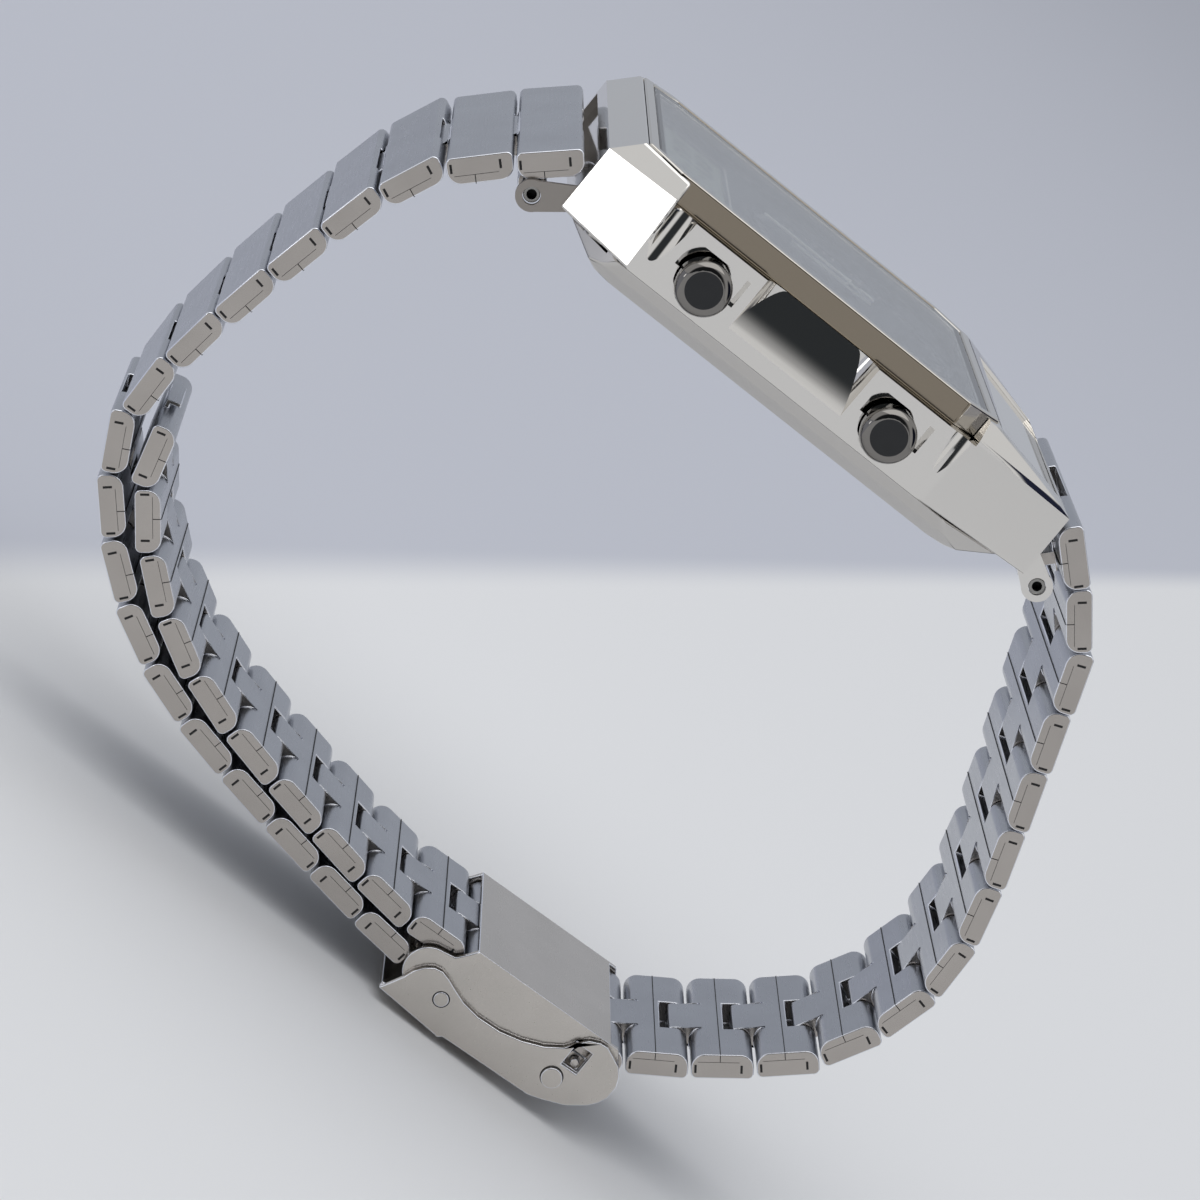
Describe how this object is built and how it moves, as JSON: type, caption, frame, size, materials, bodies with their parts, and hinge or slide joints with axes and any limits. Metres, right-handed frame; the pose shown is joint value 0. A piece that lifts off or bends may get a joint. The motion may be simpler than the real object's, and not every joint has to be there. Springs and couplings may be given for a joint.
{
  "type": "analog-digital watch",
  "caption": "Rectangular steel wristwatch with cut corners, a dial with hands and a display, side pushers, and a closed folded-link bracelet with a fold-over slide clasp.",
  "frame": {"origin": "Centre of the flat back face of the case, where the watch lies against the wrist.", "axes": "+Z points out of the dial, +Y points to 12 o'clock, +X points to 3 o'clock."},
  "size_m": [0.0322, 0.0689, 0.0574],
  "materials": {
    "case_steel": "polished stainless steel",
    "bezel_steel": "polished stainless steel with a warm reflection",
    "crystal_glass": "polished mineral glass",
    "dial_face": "satin printed dial",
    "display": "liquid crystal display under film",
    "hands": "white painted hands",
    "movement_body": "moulded movement block",
    "cell": "nickel plated cell can",
    "gasket": "black nitrile seal",
    "pusher_steel": "polished ring with a satin flat",
    "link_steel": "folded sheet steel, brushed outside",
    "bar_steel": "drawn steel pin",
    "clasp_steel": "pressed sheet steel"
  },
  "bodies": {
    "case": {"case_body": "case_steel", "bezel_frame": "bezel_steel", "crystal": "crystal_glass", "dial": "dial_face", "lcd_panel": "display", "movement": "movement_body", "battery": "cell", "back_cover": "case_steel", "back_gasket": "gasket", "spring_bar_6": "bar_steel"},
    "hour": {"hour_hand": "hands"},
    "minute": {"minute_hand": "hands"},
    "push_9_upper": {"pusher_9_upper": "pusher_steel"},
    "push_9_lower": {"pusher_9_lower": "pusher_steel"},
    "push_3": {"pusher_3": "pusher_steel"},
    "end_6": {"end_link_6": "link_steel"},
    "b02": {"link_b02": "link_steel"},
    "b03": {"link_b03": "link_steel"},
    "b04": {"link_b04": "link_steel"},
    "b05": {"link_b05": "link_steel"},
    "b06": {"link_b06": "link_steel"},
    "b07": {"link_b07": "link_steel"},
    "b08": {"link_b08": "link_steel"},
    "b09": {"link_b09": "link_steel"},
    "b10": {"link_b10": "link_steel"},
    "b11": {"link_b11": "link_steel"},
    "b12": {"link_b12": "link_steel"},
    "b13": {"link_b13": "link_steel"},
    "clasp": {"clasp_base": "clasp_steel", "clasp_links": "link_steel"},
    "cover": {"clasp_cover": "clasp_steel"},
    "lock": {"clasp_lock": "clasp_steel"},
    "a18": {"link_a18": "link_steel"},
    "a17": {"link_a17": "link_steel"},
    "a16": {"link_a16": "link_steel"},
    "a15": {"link_a15": "link_steel"},
    "a14": {"link_a14": "link_steel"},
    "a13": {"link_a13": "link_steel"},
    "a12": {"link_a12": "link_steel"},
    "a11": {"link_a11": "link_steel"},
    "a10": {"link_a10": "link_steel"},
    "a09": {"link_a09": "link_steel"},
    "a08": {"link_a08": "link_steel"},
    "a07": {"link_a07": "link_steel"},
    "a06": {"link_a06": "link_steel"},
    "a05": {"link_a05": "link_steel"},
    "a04": {"link_a04": "link_steel"},
    "a03": {"link_a03": "link_steel"},
    "a02": {"link_a02": "link_steel"},
    "end_12": {"end_link_12": "link_steel", "spring_bar_12": "bar_steel"},
    "t09": {"tail_09": "link_steel"},
    "t08": {"tail_08": "link_steel"},
    "t07": {"tail_07": "link_steel"},
    "t06": {"tail_06": "link_steel"},
    "t05": {"tail_05": "link_steel"},
    "t04": {"tail_04": "link_steel"},
    "t03": {"tail_03": "link_steel"},
    "t02": {"tail_02": "link_steel"},
    "t01": {"tail_01": "link_steel"}
  },
  "joints": [
    {"name": "minute_turn", "type": "hinge", "parent": "case", "child": "minute", "pos_m": [0, -0.0008, 0.0073], "axis": [0, 0, -1], "continuous": true},
    {"name": "hour_turn", "type": "hinge", "parent": "case", "child": "hour", "pos_m": [0, -0.0008, 0.007], "axis": [0, 0, -1], "continuous": true},
    {"name": "push_9_upper_press", "type": "slide", "parent": "case", "child": "push_9_upper", "axis": [1, 0, 0], "range_m": [0, 0.0007], "stiffness_N_per_m": 1000, "springref_m": -0.0004},
    {"name": "push_9_lower_press", "type": "slide", "parent": "case", "child": "push_9_lower", "axis": [1, 0, 0], "range_m": [0, 0.0007], "stiffness_N_per_m": 1000, "springref_m": -0.0004},
    {"name": "push_3_press", "type": "slide", "parent": "case", "child": "push_3", "axis": [-1, 0, 0], "range_m": [0, 0.0007], "stiffness_N_per_m": 1000, "springref_m": -0.0004},
    {"name": "end_link_6_hinge", "type": "hinge", "parent": "case", "child": "end_6", "pos_m": [0, -0.0206, 0.0019], "axis": [-1, 0, 0], "range_deg": [0, 4]},
    {"name": "link_b02_hinge", "type": "hinge", "parent": "end_6", "child": "b02", "pos_m": [0, -0.02388, 0.0026], "axis": [-1, 0, 0], "range_deg": [0, 7]},
    {"name": "link_b03_hinge", "type": "hinge", "parent": "b02", "child": "b03", "pos_m": [0, -0.02681, -0.00081], "axis": [-1, 0, 0], "range_deg": [0, 19]},
    {"name": "link_b04_hinge", "type": "hinge", "parent": "b03", "child": "b04", "pos_m": [0, -0.02847, -0.005], "axis": [-1, 0, 0], "range_deg": [0, 3]},
    {"name": "link_b05_hinge", "type": "hinge", "parent": "b04", "child": "b05", "pos_m": [0, -0.03013, -0.00918], "axis": [-1, 0, 0], "range_deg": [0, 3]},
    {"name": "link_b06_hinge", "type": "hinge", "parent": "b05", "child": "b06", "pos_m": [0, -0.03179, -0.01336], "axis": [-1, 0, 0], "range_deg": [0, 3]},
    {"name": "link_b07_hinge", "type": "hinge", "parent": "b06", "child": "b07", "pos_m": [0, -0.03338, -0.01757], "axis": [-1, 0, 0], "range_deg": [0, 4]},
    {"name": "link_b08_hinge", "type": "hinge", "parent": "b07", "child": "b08", "pos_m": [0, -0.03467, -0.02188], "axis": [-1, 0, 0], "range_deg": [0, 13]},
    {"name": "link_b09_hinge", "type": "hinge", "parent": "b08", "child": "b09", "pos_m": [0, -0.03495, -0.02637], "axis": [-1, 0, 0], "range_deg": [0, 17]},
    {"name": "link_b10_hinge", "type": "hinge", "parent": "b09", "child": "b10", "pos_m": [0, -0.03392, -0.03075], "axis": [-1, 0, 0], "range_deg": [0, 14]},
    {"name": "link_b11_hinge", "type": "hinge", "parent": "b10", "child": "b11", "pos_m": [0, -0.03185, -0.03475], "axis": [-1, 0, 0], "range_deg": [0, 20]},
    {"name": "link_b12_hinge", "type": "hinge", "parent": "b11", "child": "b12", "pos_m": [0, -0.02854, -0.0378], "axis": [-1, 0, 0], "range_deg": [0, 5]},
    {"name": "link_b13_hinge", "type": "hinge", "parent": "b12", "child": "b13", "pos_m": [0, -0.02498, -0.04055], "axis": [-1, 0, 0], "range_deg": [0, 4]},
    {"name": "clasp_hinge", "type": "hinge", "parent": "b13", "child": "clasp", "pos_m": [0, -0.02123, -0.04304], "axis": [-1, 0, 0], "range_deg": [0, 32]},
    {"name": "cover_hinge", "type": "hinge", "parent": "clasp", "child": "cover", "pos_m": [0, -0.01857, -0.04599], "axis": [-1, 0, 0], "range_deg": [0, 95]},
    {"name": "lock_hinge", "type": "hinge", "parent": "clasp", "child": "lock", "pos_m": [0, -0.01932, -0.04444], "axis": [-1, 0, 0], "range_deg": [0, 3]},
    {"name": "link_a18_hinge", "type": "hinge", "parent": "clasp", "child": "a18", "pos_m": [0, -0.00686, -0.04598], "axis": [-1, 0, 0], "range_deg": [0, 6]},
    {"name": "link_a17_hinge", "type": "hinge", "parent": "a18", "child": "a17", "pos_m": [0, -0.00239, -0.04547], "axis": [-1, 0, 0], "range_deg": [0, 3]},
    {"name": "link_a16_hinge", "type": "hinge", "parent": "a17", "child": "a16", "pos_m": [0, 0.00205, -0.04472], "axis": [-1, 0, 0], "range_deg": [0, 3]},
    {"name": "link_a15_hinge", "type": "hinge", "parent": "a16", "child": "a15", "pos_m": [0, 0.00647, -0.04389], "axis": [-1, 0, 0], "range_deg": [0, 3]},
    {"name": "link_a14_hinge", "type": "hinge", "parent": "a15", "child": "a14", "pos_m": [0, 0.01088, -0.04299], "axis": [-1, 0, 0], "range_deg": [0, 3]},
    {"name": "link_a13_hinge", "type": "hinge", "parent": "a14", "child": "a13", "pos_m": [0, 0.01525, -0.04193], "axis": [-1, 0, 0], "range_deg": [0, 6]},
    {"name": "link_a12_hinge", "type": "hinge", "parent": "a13", "child": "a12", "pos_m": [0, 0.01949, -0.04042], "axis": [-1, 0, 0], "range_deg": [0, 9]},
    {"name": "link_a11_hinge", "type": "hinge", "parent": "a12", "child": "a11", "pos_m": [0, 0.02344, -0.03827], "axis": [-1, 0, 0], "range_deg": [0, 10]},
    {"name": "link_a10_hinge", "type": "hinge", "parent": "a11", "child": "a10", "pos_m": [0, 0.02696, -0.03546], "axis": [-1, 0, 0], "range_deg": [0, 10]},
    {"name": "link_a09_hinge", "type": "hinge", "parent": "a10", "child": "a09", "pos_m": [0, 0.02994, -0.03208], "axis": [-1, 0, 0], "range_deg": [0, 14]},
    {"name": "link_a08_hinge", "type": "hinge", "parent": "a09", "child": "a08", "pos_m": [0, 0.03201, -0.02809], "axis": [-1, 0, 0], "range_deg": [0, 26]},
    {"name": "link_a07_hinge", "type": "hinge", "parent": "a08", "child": "a07", "pos_m": [0, 0.03212, -0.02359], "axis": [-1, 0, 0], "range_deg": [0, 8]},
    {"name": "link_a06_hinge", "type": "hinge", "parent": "a07", "child": "a06", "pos_m": [0, 0.03156, -0.01912], "axis": [-1, 0, 0], "range_deg": [0, 3]},
    {"name": "link_a05_hinge", "type": "hinge", "parent": "a06", "child": "a05", "pos_m": [0, 0.03078, -0.01469], "axis": [-1, 0, 0], "range_deg": [0, 3]},
    {"name": "link_a04_hinge", "type": "hinge", "parent": "a05", "child": "a04", "pos_m": [0, 0.02983, -0.01029], "axis": [-1, 0, 0], "range_deg": [0, 3]},
    {"name": "link_a03_hinge", "type": "hinge", "parent": "a04", "child": "a03", "pos_m": [0, 0.02881, -0.00591], "axis": [-1, 0, 0], "range_deg": [0, 10]},
    {"name": "link_a02_hinge", "type": "hinge", "parent": "a03", "child": "a02", "pos_m": [0, 0.02705, -0.00177], "axis": [-1, 0, 0], "range_deg": [0, 21]},
    {"name": "end_link_12_hinge", "type": "hinge", "parent": "a02", "child": "end_12", "pos_m": [0, 0.02392, 0.00146], "axis": [-1, 0, 0], "range_deg": [0, 3]},
    {"name": "tail_09_hinge", "type": "hinge", "parent": "clasp", "child": "t09", "pos_m": [0, -0.00324, -0.04356], "axis": [1, 0, 0], "range_deg": [0, 6]},
    {"name": "tail_08_hinge", "type": "hinge", "parent": "t09", "child": "t08", "pos_m": [0, 0.00122, -0.04294], "axis": [1, 0, 0], "range_deg": [0, 6]},
    {"name": "tail_07_hinge", "type": "hinge", "parent": "t08", "child": "t07", "pos_m": [0, 0.00563, -0.04208], "axis": [1, 0, 0], "range_deg": [0, 6]},
    {"name": "tail_06_hinge", "type": "hinge", "parent": "t07", "child": "t06", "pos_m": [0, 0.01003, -0.04114], "axis": [1, 0, 0], "range_deg": [0, 6]},
    {"name": "tail_05_hinge", "type": "hinge", "parent": "t06", "child": "t05", "pos_m": [0, 0.0144, -0.04004], "axis": [1, 0, 0], "range_deg": [0, 6]},
    {"name": "tail_04_hinge", "type": "hinge", "parent": "t05", "child": "t04", "pos_m": [0, 0.01863, -0.03849], "axis": [1, 0, 0], "range_deg": [0, 6]},
    {"name": "tail_03_hinge", "type": "hinge", "parent": "t04", "child": "t03", "pos_m": [0, 0.02252, -0.03624], "axis": [1, 0, 0], "range_deg": [0, 6]},
    {"name": "tail_02_hinge", "type": "hinge", "parent": "t03", "child": "t02", "pos_m": [0, 0.02591, -0.03328], "axis": [1, 0, 0], "range_deg": [0, 6]},
    {"name": "tail_01_hinge", "type": "hinge", "parent": "t02", "child": "t01", "pos_m": [0, 0.02868, -0.02973], "axis": [1, 0, 0], "range_deg": [0, 6]}
  ],
  "couplings": [
    {"joint": "hour_turn", "follows": "minute_turn", "ratio": 0.083333}
  ]
}
